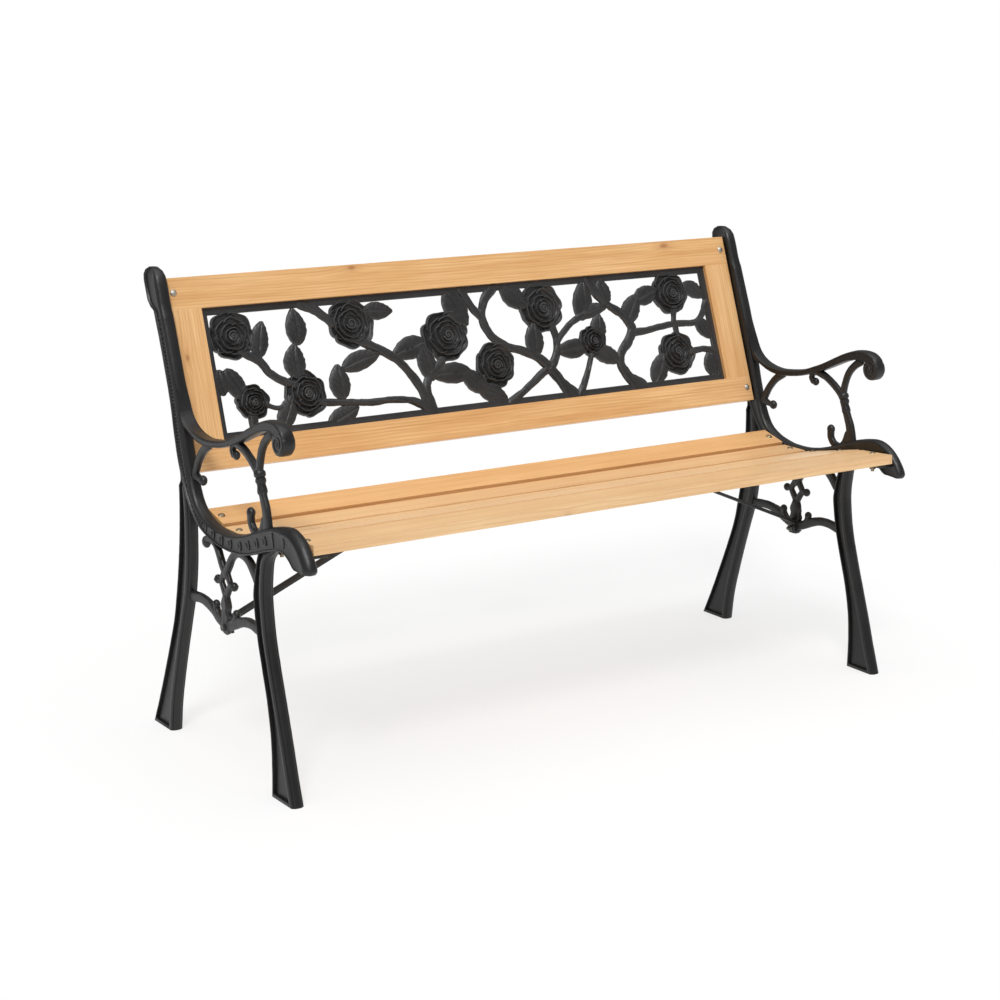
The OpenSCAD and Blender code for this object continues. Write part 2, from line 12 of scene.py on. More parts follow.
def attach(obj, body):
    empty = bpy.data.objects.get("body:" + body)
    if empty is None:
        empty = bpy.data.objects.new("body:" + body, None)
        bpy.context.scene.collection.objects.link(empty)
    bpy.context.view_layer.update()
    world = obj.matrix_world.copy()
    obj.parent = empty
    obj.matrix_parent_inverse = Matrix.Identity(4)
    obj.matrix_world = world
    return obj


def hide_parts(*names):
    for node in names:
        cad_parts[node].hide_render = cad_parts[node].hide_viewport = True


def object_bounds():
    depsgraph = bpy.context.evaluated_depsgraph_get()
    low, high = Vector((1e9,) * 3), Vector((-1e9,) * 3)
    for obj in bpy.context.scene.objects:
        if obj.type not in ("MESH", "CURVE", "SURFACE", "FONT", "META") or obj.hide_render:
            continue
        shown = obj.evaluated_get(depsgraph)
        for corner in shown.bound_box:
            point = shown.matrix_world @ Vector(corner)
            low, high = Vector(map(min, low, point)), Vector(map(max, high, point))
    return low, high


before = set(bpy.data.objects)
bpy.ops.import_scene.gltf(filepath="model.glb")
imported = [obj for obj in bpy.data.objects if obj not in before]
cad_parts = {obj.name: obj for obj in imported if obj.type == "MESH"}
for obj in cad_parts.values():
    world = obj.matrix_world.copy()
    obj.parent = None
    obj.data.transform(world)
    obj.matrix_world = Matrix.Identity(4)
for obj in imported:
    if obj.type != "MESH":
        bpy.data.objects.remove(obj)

CAD_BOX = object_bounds()
MM = 0.001

# ------------------------------------------------------------------ driving sizes

DEPTH = 22.0                                # an end frame, along the bench
INNER = CAD_BOX[1][0] / MM - DEPTH          # its inner face, from the middle
STRUT = 10.0                                # struts and scrolls, along the bench
MIDDLE = DEPTH / 2
LEAN = math.radians(20)                     # of the back
UP_BACK = Vector((0, math.sin(LEAN), math.cos(LEAN)))
INTO_BACK = Vector((0, math.cos(LEAN), -math.sin(LEAN)))
BACK_FOOT = Vector((0, 125, 452))           # bottom front edge of the back
RAIL = 46                                   # height of the bottom rail
OPENING = Vector((1062, 220))               # hole in the wooden back
BOARD_THICK = 18                            # rails and stiles of the back
PANEL_BACK = 14                             # panel's rear face, behind the wood's front
PANEL_THICK = 7
TONGUE = 8                                  # panel's edge, inside the groove in the wood
SLAT_THICK = 16
SLATS = [(91, 399, 15, 53), (35, 381, 0, 58), (-31, 381, -12, 49), (-87, 393, -12, 79),
         (-172, 410, -4, 76)]               # rear edge y and z, tilt, width

BACK, FRONT = 0, 1                          # edges of a bar

# Side view of an end frame, as (y, z) points from top to bottom or back to front.
CAP_RINGS = [((258, 769.5), (241, 770.5), 0.45), ((265, 764.5), (229, 765), 0.8),
             ((268, 757), (221.5, 757), 0.95), ((266.5, 748), (217, 746), 1),
             ((262, 736), (212.5, 734), 1), ((254, 716), (205.5, 714), 1),
             ((243, 706.5), (201, 704), 1)]
BAND_BACK = [(232, 702), (210, 650), (191, 600), (176, 555), (165, 510), (152, 468), (133, 428),
             (110, 396), (82, 374), (50, 363), (15, 357), (-25, 356), (-70, 361), (-115, 374),
             (-155, 387), (-185, 393), (-200, 391), (-210, 386), (-217, 381), (-222, 378),
             (-228, 376)]
BAND_FRONT = [(197, 697), (177, 647), (159, 600), (146, 557), (134, 515), (122, 475), (109, 440),
              (92, 411), (70, 396), (42, 387), (15, 384), (-22, 385), (-62, 393), (-105, 408),
              (-145, 422), (-182, 431), (-209, 432), (-236, 421), (-256, 401), (-267, 382),
              (-263, 374)]
REAR_LEG_BACK = [(160, 490), (152, 450), (149, 415), (149, 380), (151, 340), (155, 300),
                 (163, 250), (174, 200), (192, 150), (212, 100), (233, 50), (256, 0)]
REAR_LEG_FRONT = [(140, 490), (130, 450), (124, 415), (120, 380), (119, 340), (120, 300),
                  (127, 250), (142, 200), (157, 150), (171, 100), (183, 50), (189, 0)]
FRONT_LEG_BACK = [(-128, 398), (-115, 372), (-107, 345), (-102, 320), (-101, 300), (-110, 250),
                  (-125, 200), (-141, 150), (-152, 100), (-156, 50), (-156, 0)]
FRONT_LEG_FRONT = [(-176, 398), (-141, 372), (-133, 345), (-131, 320), (-132, 300), (-140, 250),
                   (-155, 200), (-172, 150), (-189, 100), (-205, 50), (-222, 0)]
ARM_LOWER = [(150, 560), (132, 530), (114, 522), (86, 512), (57, 509), (28, 512), (2, 517),
             (-24, 525), (-50, 534), (-80, 547), (-110, 560), (-136, 568), (-158, 569),
             (-174, 563), (-182, 552)]
ARM_UPPER = [(166, 612), (150, 572), (133, 543), (106, 527), (68, 521), (32, 524), (-2, 530),
             (-30, 540), (-57, 551), (-88, 566), (-117, 579), (-145, 587), (-171, 587),
             (-190, 578), (-199, 560)]
STILE_END, SEAT_START = 110, 50             # the band changes from stile to seat between them
SCALES_END = 70                             # where the stile's scales give way to bosses
NOSE_LINE, NOSE_FULL = -163, -193           # where the plain nose begins and is all there
SCALE_PITCH = 5.2
BOSS_PITCH = 27
# The groove along the outside of the band: its depth, the rim behind it, the roll in front.
STILE_GROOVE, SEAT_GROOVE, NOSE_GROOVE = 3.4, 2.0, 1.0
STILE_RIM, SEAT_RIM = 5.6, 4.4
STILE_ROLL, SEAT_ROLL, NOSE_ROLL = 11.5, 6.5, 13.5
LEG_CORE = 0.65                             # thickness of a leg inside the band
REAR_LEG_CORE, FRONT_LEG_CORE = 432, 378    # height where that begins
SCROLL = Vector((-180, 557))
SCROLL_RADIUS = 19

# Struts inside the frame, as (y, z, width) points.
REAR_STRUT = [(58, 512, 16), (80, 497, 14), (96, 479, 13), (106, 462, 14), (116, 449, 17)]
KNOB_NECK = [(108, 452, 14), (96, 449, 10), (84, 448, 9)]
MIDDLE_STRUT = [(-34, 531, 15), (-59, 524, 13), (-80, 513, 13), (-93, 504, 13), (-104, 494, 15)]
HANGING_CURL = [(-42, 532, 10), (-27, 528, 9), (-20, 518, 9), (-25, 510, 9)]
FRONT_STRUT = [(-146, 566, 15), (-130, 555, 13), (-117, 540, 13), (-109, 520, 12), (-104, 496, 14)]
POST = [(-103, 503, 15), (-109, 482, 14), (-117, 464, 15), (-125, 447, 17), (-129, 431, 20),
        (-131, 410, 26)]
POST_CURL = [(-77, 430, 14), (-78, 415, 13), (-88, 404, 13), (-103, 402, 13), (-115, 411, 14),
             (-122, 428, 14)]
# Knobs on the ends of the struts, as (y, z, radius, half depth).
ARM_KNOBS = [(83, 448, 8.5, 6.5), (-31, 511, 7.5, 6), (-77, 430, 8.5, 6.5)]
COLLAR_TOP = Vector((-104, 503))
COLLAR_FOOT = Vector((-116, 466))
# Radius of the collar along its length: a ball, two rings and a vase.
COLLAR = [(0, 3), (0.03, 7), (0.12, 9.3), (0.24, 9.3), (0.33, 6.8), (0.36, 8.2), (0.47, 8.6),
          (0.55, 7), (0.6, 6.6), (0.78, 7.8), (0.9, 8.2), (0.98, 6.6), (1, 3)]

ORNAMENT_Y = 8                              # middle line of the ornament between the legs
STRETCHER = [(0, 228, 17), (20, 234, 17), (40, 243, 17), (62, 250, 16), (88, 252, 16),
             (118, 248, 18)]
FINGER = [(10, 228, 13), (23, 237, 11), (32, 246, 11), (35, 256, 11)]
PILLAR = [(0, 226, 26), (0, 238, 23), (0, 246, 27), (0, 253, 22), (0, 260, 26), (0, 268, 22),
          (0, 274, 16)]
DIAMOND = [(0, 276, 14), (8, 287, 12), (14.5, 298, 11), (8, 309, 12), (0, 320, 14)]
FINGER_TIP = (34, 255)
SIDE_KNOB = (27, 298)
BRANCH_KNOB = (66, 350)
REAR_BRANCH = [(0, 312, 13), (13, 328, 13), (24, 345, 12), (40, 357, 12), (56, 358, 12),
               (66, 352, 12)]
FRONT_BRANCH = [(0, 312, 13), (-12, 330, 13), (-24, 345, 12), (-40, 355, 12), (-60, 357, 13),
                (-80, 350, 15), (-96, 337, 17), (-106, 324, 14)]
LUG_Z = 226                                 # middle of the disc that carries the brace

# Ledges under the slats and ears behind the rails, from the frame's inner face.
LEDGE_REACH, LEDGE_ROOT, LEDGE_THICK = 28, 5, 6
EAR_THICK, EAR_HEIGHT = 8, 30
EARS = (25, 294)                            # heights up the back

# Rose panel: x from the middle, y up from the opening's bottom edge.
ROSES = [(-482, 171, 41), (-464, 58, 30), (-363, 62, 39), (-254, 173, 44), (-70, 135, 46),
         (24, 76, 40), (143, 170, 46), (243, 98, 30), (441, 175, 40), (432, 61, 40)]
# Leaves: x, y, length, width, direction of the tip.
LEAVES = [(-430, 160, 66, 34, 75), (-361, 176, 66, 38, 90), (-371, 118, 62, 40, 86), (-487, 88, 68, 34, -62),
          (-514, 95, 46, 34, -85), (-294, 75, 64, 39, 90), (-246, 107, 82, 35, 14), (-297, 18, 70, 35, 22),
          (-404, 34, 64, 33, 62), (-196, 191, 60, 32, -5), (-147, 121, 74, 41, 195), (-117, 94, 74, 36, 100),
          (-37, 182, 76, 46, -62), (-70, 68, 88, 38, 178), (-21, 49, 66, 36, -40), (9, 24, 62, 34, -20),
          (91, 193, 70, 40, -38), (117, 114, 66, 38, 84), (237, 176, 78, 42, 76), (288, 190, 54, 33, 100),
          (256, 154, 78, 26, 12), (261, 124, 56, 34, 76), (196, 92, 76, 36, 184), (271, 69, 68, 34, -22),
          (346, 152, 68, 38, 55), (385, 176, 60, 36, 18), (500, 176, 56, 32, -32), (507, 102, 50, 30, -58),
          (384, 36, 66, 38, 60), (510, 34, 52, 34, 90)]
# Branches, as (x, y, width) points.
BRANCHES = [
    [(-471, 143, 14), (-438, 124, 15), (-423, 103, 14), (-398, 86, 14), (-378, 78, 14)],
    [(-345, 216, 20), (-315, 199, 17), (-289, 176, 16)],
    [(-255, 148, 17), (-208, 124, 16), (-173, 101, 15), (-148, 68, 16), (-132, 36, 19),
     (-125, 4, 26)],
    [(-333, 44, 14), (-293, 40, 12), (-243, 35, 12), (-193, 35, 12), (-158, 29, 13),
     (-129, 12, 18)],
    [(-443, 53, 9), (-418, 43, 8), (-393, 50, 9)],
    [(-466, 43, 17), (-471, 4, 16)],
    [(-123, 4, 26), (-127, 40, 18), (-120, 62, 15), (-103, 76, 15), (-85, 94, 15)],
    [(-21, 216, 18), (-5, 184, 14), (15, 158, 15)],
    [(49, 216, 20), (23, 190, 17), (14, 161, 16), (23, 132, 16), (52, 108, 16), (92, 93, 16),
     (121, 77, 18), (140, 58, 20), (157, 32, 21), (179, 4, 30)],
    [(137, 60, 17), (102, 40, 14), (69, 20, 13), (41, 6, 16)],
    [(139, 56, 17), (158, 82, 15), (164, 110, 14), (159, 138, 15)],
    [(165, 106, 12), (197, 132, 12), (232, 150, 12), (269, 162, 12)],
    [(195, 4, 18), (215, 36, 11), (237, 76, 11)],
    [(257, 216, 24), (273, 186, 19), (293, 164, 16), (322, 143, 17), (338, 116, 19),
     (325, 94, 18), (305, 74, 18), (298, 52, 18), (311, 26, 21), (335, 4, 32)],
    [(337, 106, 15), (387, 111, 12), (437, 116, 12), (489, 115, 12), (511, 132, 13),
     (524, 150, 16)],
    [(437, 116, 12), (445, 148, 11)],
    [(439, 116, 12), (441, 90, 11)],
    [(465, 60, 13), (497, 63, 12), (524, 56, 15)],
]
RIM = 12

# ------------------------------------------------------------------ mesh helpers
# A casting is drawn in its own plane: u and v across it, w towards its outer face.


def spline(points, steps=5):
    """A smooth curve through the points."""
    last = len(points) - 1
    curve = []
    for i in range(last):
        a, b, c, d = (Vector(points[min(max(j, 0), last)]) for j in range(i - 1, i + 3))
        for s in range(steps):
            t = s / steps
            curve.append(0.5 * (2 * b + (c - a) * t + (2 * a - 5 * b + 4 * c - d) * t * t
                                + (3 * b - a - 3 * c + d) * t ** 3))
    curve.append(Vector(points[last]))
    return curve


def skin(bm, rings, loop=False):
    """Joins rings of points into one closed skin."""
    rows = [[bm.verts.new(p) for p in ring] for ring in rings]
    pairs = list(zip(rows, rows[1:]))
    if loop:
        pairs.append((rows[-1], rows[0]))
    for a, b in pairs:
        for i in range(len(a)):
            j = (i + 1) % len(a)
            bm.faces.new((a[i], a[j], b[j], b[i]))
    if not loop:
        bm.faces.new(rows[0][::-1])
        bm.faces.new(rows[-1])


def bar_ring(back, front, section, share=1.0):
    """One outline of a bar between two edge points. share thins it about its middle."""
    across = front - back
    width = across.length
    across.normalize()
    ring = []
    for edge, inset, w in section((back + front) / 2):
        inset = min(inset, 0.49 * width)
        p = back + across * inset if edge == BACK else front - across * inset
        ring.append(Vector((p.x, p.y, MIDDLE + (w - MIDDLE) * share)))
    return ring


def rope(bm, knots, middle, half_depth, sides=16, steps=5, square=0.6, lumps=0.0, curve=None):
    """A rounded strut along a curve of (u, v, width) points, with rounded ends."""
    line = curve or spline(knots, steps)
    last = len(line) - 1
    rings = []
    for i, p in enumerate(line):
        way = (line[min(i + 1, last)] - line[max(i - 1, 0)]).xy.normalized()
        side = Vector((-way.y, way.x))
        ring = []
        for k in range(sides):
            a = 2 * math.pi * k / sides
            c = math.copysign(abs(math.cos(a)) ** square, math.cos(a))
            s = math.copysign(abs(math.sin(a)) ** square, math.sin(a))
            swell = 1 + lumps * noise.noise(Vector((p.x * 0.05 + c * 2.5, p.y * 0.05, s * 2.5)))
            edge = p.xy + side * c * swell * p.z / 2
            ring.append(Vector((edge.x, edge.y, middle + half_depth * s * swell)))
        rings.append(ring)
    rings = end_rings(rings, line[0].z / 2) + rings
    rings = rings + end_rings(rings[::-1], line[last].z / 2)[::-1]
    skin(bm, rings)


def end_rings(rings, height):
    """Shrinking rings that round off the first end of a bar."""
    middle = sum(rings[0], Vector()) / len(rings[0])
    way = (middle - sum(rings[1], Vector()) / len(rings[1])).normalized()
    caps = []
    for angle in (80, 55, 28):
        a = math.radians(angle)
        caps.append([middle + (p - middle) * math.cos(a) + way * height * math.sin(a)
                     for p in rings[0]])
    return caps


def turned(bm, place, profile, sides=20):
    """A lathe shape: profile is (radius, height) along the z axis of place."""
    rings = []
    for radius, height in profile:
        rings.append([place @ Vector((radius * math.cos(2 * math.pi * k / sides),
                                      radius * math.sin(2 * math.pi * k / sides), height))
                      for k in range(sides)])
    skin(bm, rings)


def ball(bm, centre, radius, half_depth, w=MIDDLE, sides=18):
    angles = [math.radians(a) for a in range(-85, 86, 17)]
    turned(bm, Matrix.Translation((centre[0], centre[1], w)),
           [(radius * math.cos(a), half_depth * math.sin(a)) for a in angles], sides)


def dome(bm, centre, angle, length, width, height, w):
    """A low oval boss on a face."""
    place = Matrix.Translation((centre[0], centre[1], w)) @ Matrix.Rotation(angle, 4, "Z")
    place = place @ Matrix.Diagonal((length / 2, width / 2, 1, 1))
    turned(bm, place, [(1, -1)] + [(math.cos(a), height * math.sin(a))
                                   for a in (0, 0.5, 0.95, 1.35)], 14)


def block(bm, centre, angle, size, w0, w1, bevel=1.2):
    """A box with eased edges, turned in the plane."""
    place = Matrix.Translation((centre[0], centre[1], (w0 + w1) / 2))
    place = place @ Matrix.Rotation(angle, 4, "Z") @ Matrix.Diagonal((size[0], size[1], w1 - w0, 1))
    made = bmesh.ops.create_cube(bm, size=1, matrix=place)
    edges = {e for v in made["verts"] for e in v.link_edges}
    bmesh.ops.bevel(bm, geom=list(edges), offset=bevel, segments=2, affect="EDGES", profile=0.5)


def patch(bm, grid, floor):
    """A solid under a grid of top points, closed by a flat back at w = floor."""
    top = [[bm.verts.new(p) for p in row] for row in grid]
    low = [[bm.verts.new((p.x, p.y, floor)) for p in row] for row in grid]
    rows, cols = len(grid), len(grid[0])
    for i in range(rows - 1):
        for j in range(cols - 1):
            bm.faces.new((top[i][j], top[i + 1][j], top[i + 1][j + 1], top[i][j + 1]))
            bm.faces.new((low[i][j], low[i][j + 1], low[i + 1][j + 1], low[i + 1][j]))
    border = [(i, 0) for i in range(rows)] + [(rows - 1, j) for j in range(1, cols)]
    border += [(i, cols - 1) for i in range(rows - 2, -1, -1)] + [(0, j) for j in range(cols - 2, 0, -1)]
    for (a, b), (c, d) in zip(border, border[1:] + border[:1]):
        bm.faces.new((top[a][b], low[a][b], low[c][d], top[c][d]))


def cast_surface(bm, amount, scale):
    """Small unevenness of a sand casting."""
    bm.normal_update()
    moves = [(v, v.normal * amount * noise.noise(v.co * scale)) for v in bm.verts]
    for v, move in moves:
        v.co += move


def finish_piece(name, bm, place, material, node, crease=38):
    """Puts a drawn casting in its place in the bench's frame, in metres."""
    bmesh.ops.transform(bm, matrix=Matrix.Scale(MM, 4) @ place, verts=bm.verts)
    bmesh.ops.recalc_face_normals(bm, faces=bm.faces)
    for e in bm.edges:
        e.smooth = not e.is_manifold or e.calc_face_angle(0) < math.radians(crease)
    for f in bm.faces:
        f.smooth = True
    mesh = bpy.data.meshes.new(name)
    bm.to_mesh(mesh)
    bm.free()
    mesh.materials.append(material)
    piece = bpy.data.objects.new(name, mesh)
    bpy.context.scene.collection.objects.link(piece)
    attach(piece, "root")
    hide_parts(node)
    return piece


# ------------------------------------------------------------------ end frame

OUT = DEPTH


def rise(value, start, end):
    """0 up to start, 1 from end on, and a straight line between them."""
    return min(max((value - start) / (end - start), 0), 1)


def blend(a, b, share):
    return a + (b - a) * share


def nose_share(middle):
    """0 behind the nose, rising to 1 along it."""
    return rise(middle.x, NOSE_LINE, NOSE_FULL)


def groove_shape(middle):
    """Depth of the outside groove, and how far its rear rim and front roll reach."""
    seat = rise(middle.x, STILE_END, SEAT_START)
    depth = NOSE_GROOVE if middle.x < NOSE_LINE else blend(STILE_GROOVE, SEAT_GROOVE, seat)
    roll = blend(blend(STILE_ROLL, SEAT_ROLL, seat), NOSE_ROLL, nose_share(middle))
    return depth, blend(STILE_RIM, SEAT_RIM, seat), roll


def band_section(middle):
    """Outline of the stile and seat rail: a groove outside, a full round in front with a
    fine line along it. The nose has no line and is rounder."""
    floor, rim, roll = groove_shape(middle)
    k = roll / STILE_ROLL
    nose = nose_share(middle)
    line = 0.9 * (1 - nose)
    return [
        (BACK, 0, 17), (BACK, 0.5, OUT - 1.8), (BACK, 1.5, OUT - 0.3), (BACK, 2.4, OUT),
        (BACK, rim - 1, OUT - 0.3), (BACK, rim, OUT - floor * 0.8), (BACK, rim + 0.8, OUT - floor),
        (FRONT, roll + 0.8, OUT - floor), (FRONT, roll, OUT - floor * 0.8),
        (FRONT, roll - 1, OUT - 0.2), (FRONT, 9 * k, OUT), (FRONT, 8.2 * k, OUT - line - 0.3 * nose),
        (FRONT, 7.4 * k, OUT - line - 0.7 * nose), (FRONT, 6.6 * k, OUT - 0.1 - nose),
        (FRONT, 4 * k, OUT - 0.9 - 2.2 * nose), (FRONT, 1.8 + nose, OUT - 3 - 2.4 * nose),
        (FRONT, 0.5, OUT - 6.2 - 2 * nose), (FRONT, 0, MIDDLE),
        (FRONT, 0.5, 6.2), (FRONT, 1.8, 3), (FRONT, 4, 0.9), (FRONT, 6.6, 0.1), (FRONT, 8, 0.9),
        (FRONT, 9.5, 1.4), (BACK, 8.5, 1.4), (BACK, 7, 0.9), (BACK, 6, 0.1), (BACK, 3.3, 0),
        (BACK, 1.9, 0.3), (BACK, 0.5, 1.8), (BACK, 0, 5),
    ]


def leg_section(middle):
    """Outline of a leg: a thin rim behind, a round flange in front, sunk faces between."""
    sunk = 5 if middle.y > 5.6 else 0.3
    half = [
        (BACK, 0, MIDDLE), (BACK, 0, OUT - 2.2), (BACK, 0.8, OUT - 0.5), (BACK, 2, OUT),
        (BACK, 3.6, OUT - 0.4), (BACK, 4.4, OUT - sunk), (FRONT, 12.5, OUT - sunk),
        (FRONT, 11.6, OUT - 1), (FRONT, 10, OUT), (FRONT, 6, OUT - 0.2), (FRONT, 3.4, OUT - 1),
        (FRONT, 2.2, OUT - 2.2), (FRONT, 2.6, OUT - 3.2), (FRONT, 1.3, OUT - 4.2),
        (FRONT, 0.3, OUT - 6), (FRONT, 0, OUT - 8.5),
    ]
    return half + [(edge, inset, DEPTH - w) for edge, inset, w in half[:0:-1]]


def arm_section(middle):
    """Outline of the arm: a crowned top and a shallow line along each face."""
    half = [
        (BACK, 0, MIDDLE), (BACK, 0.2, OUT - 4.5), (BACK, 1.2, OUT - 1.2), (BACK, 2.6, OUT - 0.1),
        (BACK, 3.3, OUT - 0.9), (FRONT, 4.6, OUT - 0.9), (FRONT, 3.9, OUT), (FRONT, 2.4, OUT - 0.6),
        (FRONT, 1, OUT - 2.4), (FRONT, 0.2, OUT - 5.5), (FRONT, -0.4, MIDDLE),
    ]
    return half + [(edge, inset, DEPTH - w) for edge, inset, w in half[-2:0:-1]]


def foot_steps(edge):
    """Closes a leg's sunk faces just above the ground."""
    above, ground = edge[-2], edge[-1]
    steps = [above.lerp(ground, (above.y - z) / above.y) for z in (6.2, 5, 1)]
    return edge[:-1] + [p for p in steps if p.y < above.y] + [ground]


def add_legs(bm):
    """The legs. Their tops run inside the band, under its sunk face."""
    for back, front, inside in ((REAR_LEG_BACK, REAR_LEG_FRONT, REAR_LEG_CORE),
                                (FRONT_LEG_BACK, FRONT_LEG_FRONT, FRONT_LEG_CORE)):
        pairs = zip(foot_steps(spline(back)), foot_steps(spline(front)))
        skin(bm, [bar_ring(b, f, leg_section, LEG_CORE if b.y > inside else 1)
                  for b, f in pairs])


def add_band(bm):
    """The stile with its rounded cap, and the seat rail that it runs down into."""
    cap = [bar_ring(Vector(b), Vector(f), band_section, share) for b, f, share in CAP_RINGS]
    edges = zip(spline(BAND_BACK), spline(BAND_FRONT))
    skin(bm, cap + [bar_ring(b, f, band_section) for b, f in edges])


def arc(bm, centre, angle, radius, sweep, width, w, height):
    """A raised bow on a face, bulging towards the angle."""
    curve = [Vector((centre[0] + radius * math.cos(angle + sweep * (k / 8 - 0.5)),
                     centre[1] + radius * math.sin(angle + sweep * (k / 8 - 0.5)), width))
             for k in range(9)]
    rope(bm, None, w, height, sides=8, curve=curve)


def add_band_relief(bm):
    """Scales up the stile, bosses and bows along the seat, and a line round the nose."""
    backs, fronts = spline(BAND_BACK, 8), spline(BAND_FRONT, 8)
    path = []
    for b, f in zip(backs, fronts):
        _, rim, roll = groove_shape((b + f) / 2)
        across = (f - b).normalized()
        path.append(((b + across * rim + f - across * roll) / 2, across))
    travelled, due = 0.0, 5.0
    for (a, _), (p, across) in zip(path, path[1:]):
        travelled += (p - a).length
        if travelled < due or p.x < NOSE_LINE + 6:
            continue
        floor = OUT - groove_shape(p)[0]
        along = math.atan2(p.y - a.y, p.x - a.x)
        if p.x > SCALES_END:
            add_scales(bm, p, across, along, floor)
            due = travelled + SCALE_PITCH
        else:
            add_boss(bm, p, along, floor)
            due = travelled + BOSS_PITCH
    add_nose_lines(bm, path, backs, fronts)


def add_scales(bm, spot, across, along, floor):
    """Two small scales side by side, turned apart."""
    for side in (-1, 1):
        dome(bm, spot + across * side * 1.9, along + 0.7 * side, 5.6, 3.2, 2.2, floor)


def add_boss(bm, spot, along, floor):
    """A low boss with a bow round its front."""
    dome(bm, spot, along, 7, 9, 1.4, floor)
    arc(bm, spot, along, 10, 1.4, 2.2, floor + 0.1, 1.4)


def add_nose_lines(bm, path, backs, fronts):
    """A bar where the nose begins, a bow ahead of it and a line along the front edge."""
    last = next(i for i, (p, _) in enumerate(path) if p.x < NOSE_LINE)
    p, across = path[last]
    bar = [Vector((*(p + across * side * 11), 2.4)) for side in (-1, 0, 1)]
    rope(bm, None, OUT - 1.4, 1.6, sides=8, curve=bar)
    ahead, _ = path[last + 7]
    arc(bm, ahead, math.atan2(ahead.y - p.y, ahead.x - p.x), 9, 1.8, 1.9, OUT - 1.1, 1.3)
    inset = [Vector((*f.lerp(b, 0.3), 1.8)) for b, f in zip(backs[last + 4:-6], fronts[last + 4:-6])]
    rope(bm, None, OUT - 1.0, 1.1, sides=8, curve=inset)


def add_arm(bm):
    """The arm, thinner where it grows out of the stile's rounded edge, and what it stands on."""
    edges = zip(spline(ARM_LOWER), spline(ARM_UPPER))
    skin(bm, [bar_ring(low, high, arm_section, min(0.75 + 0.05 * i, 1))
              for i, (low, high) in enumerate(edges)])
    for knots in (REAR_STRUT, KNOB_NECK, MIDDLE_STRUT, HANGING_CURL, FRONT_STRUT, POST, POST_CURL):
        rope(bm, knots, MIDDLE, STRUT / 2)
    for y, z, radius, half_depth in ARM_KNOBS:
        ball(bm, (y, z), radius, half_depth)
    add_scroll(bm)
    add_collar(bm)


def add_scroll(bm):
    """The rolled end of the arm: a drum with a spiral standing out of each face."""
    half = [(1, 0.6), (SCROLL_RADIUS - 4, 0.6), (SCROLL_RADIUS - 1.6, 1.2),
            (SCROLL_RADIUS - 0.3, 3.4), (SCROLL_RADIUS, 7)]
    profile = half + [(r, DEPTH - w) for r, w in half[::-1]]
    turned(bm, Matrix.Translation((SCROLL.x, SCROLL.y, 0)), profile, 40)
    for w in (0.7, DEPTH - 0.7):
        spiral = []
        for k in range(49):
            turn = 2 * math.pi * 1.75 * k / 48
            radius = (SCROLL_RADIUS - 2.4) * (1 - 0.86 * k / 48)
            spiral.append(Vector((SCROLL.x + radius * math.cos(turn + 1.9),
                                  SCROLL.y + radius * math.sin(turn + 1.9), 3.6 - 0.8 * k / 48)))
        rope(bm, None, w, 1.5, sides=8, curve=spiral)
        ball(bm, SCROLL, 3.2, 2.2, w, 12)


def add_collar(bm):
    """The turned ball, rings and vase round the post."""
    axis = COLLAR_FOOT - COLLAR_TOP
    turn = Vector((0, 0, 1)).rotation_difference(Vector((axis.x, axis.y, 0)))
    place = Matrix.Translation((COLLAR_TOP.x, COLLAR_TOP.y, MIDDLE)) @ turn.to_matrix().to_4x4()
    turned(bm, place, [(radius, share * axis.length) for share, radius in COLLAR], 22)


def ornament_place(knots, side=1):
    """Knots drawn from the ornament's middle line, or mirrored about it, in the frame."""
    return [(ORNAMENT_Y + side * u, *rest) for u, *rest in knots]


def add_leg_ornament(bm):
    """Stretcher, fingers, branches, pillar and diamond between the legs."""
    for knots, side in ((STRETCHER, 1), (STRETCHER, -1), (FINGER, 1), (FINGER, -1),
                        (REAR_BRANCH, 1), (FRONT_BRANCH, 1)):
        rope(bm, ornament_place(knots, side), MIDDLE, STRUT / 2, lumps=0.12)
    for side in (1, -1):
        rope(bm, ornament_place(DIAMOND, side), MIDDLE, STRUT / 2 - 1)
    rope(bm, ornament_place(PILLAR), MIDDLE, STRUT / 2 + 0.5, sides=20, lumps=0.3)
    for side in (-1, 1):
        tip, knob = ornament_place([FINGER_TIP, SIDE_KNOB], side)
        ball(bm, tip, 7.5, 6)
        ball(bm, knob, 7.5, 6.5)
        ball(bm, knob, 3.5, 8, sides=12)
        neck = [(17, 298, 9), (26, 298, 11)]
        rope(bm, ornament_place(neck, side), MIDDLE, STRUT / 2 - 0.5)
    ball(bm, *ornament_place([BRANCH_KNOB]), 10, 6.5)
    turned(bm, Matrix.Translation((ORNAMENT_Y, LUG_Z, 0)),
           [(8.5, 6), (9.5, 7), (9.5, 15), (8.5, 16)], 28)


def add_lugs(bm):
    """Ledges under the slats and ears behind the rails."""
    for y, z, tilt, width in SLATS:
        angle = math.radians(tilt)
        along = Vector((-math.cos(angle), -math.sin(angle)))
        down = Vector((math.sin(angle), -math.cos(angle)))
        centre = Vector((y, z)) + along * width / 2 + down * (SLAT_THICK + LEDGE_THICK / 2)
        block(bm, centre, angle, (width - 6, LEDGE_THICK), -LEDGE_REACH, LEDGE_ROOT)
    for height in EARS:
        centre = BACK_FOOT + UP_BACK * height + INTO_BACK * (BOARD_THICK + EAR_THICK / 2)
        block(bm, centre.yz, -LEAN, (EAR_THICK, EAR_HEIGHT), -LEDGE_REACH, LEDGE_ROOT)


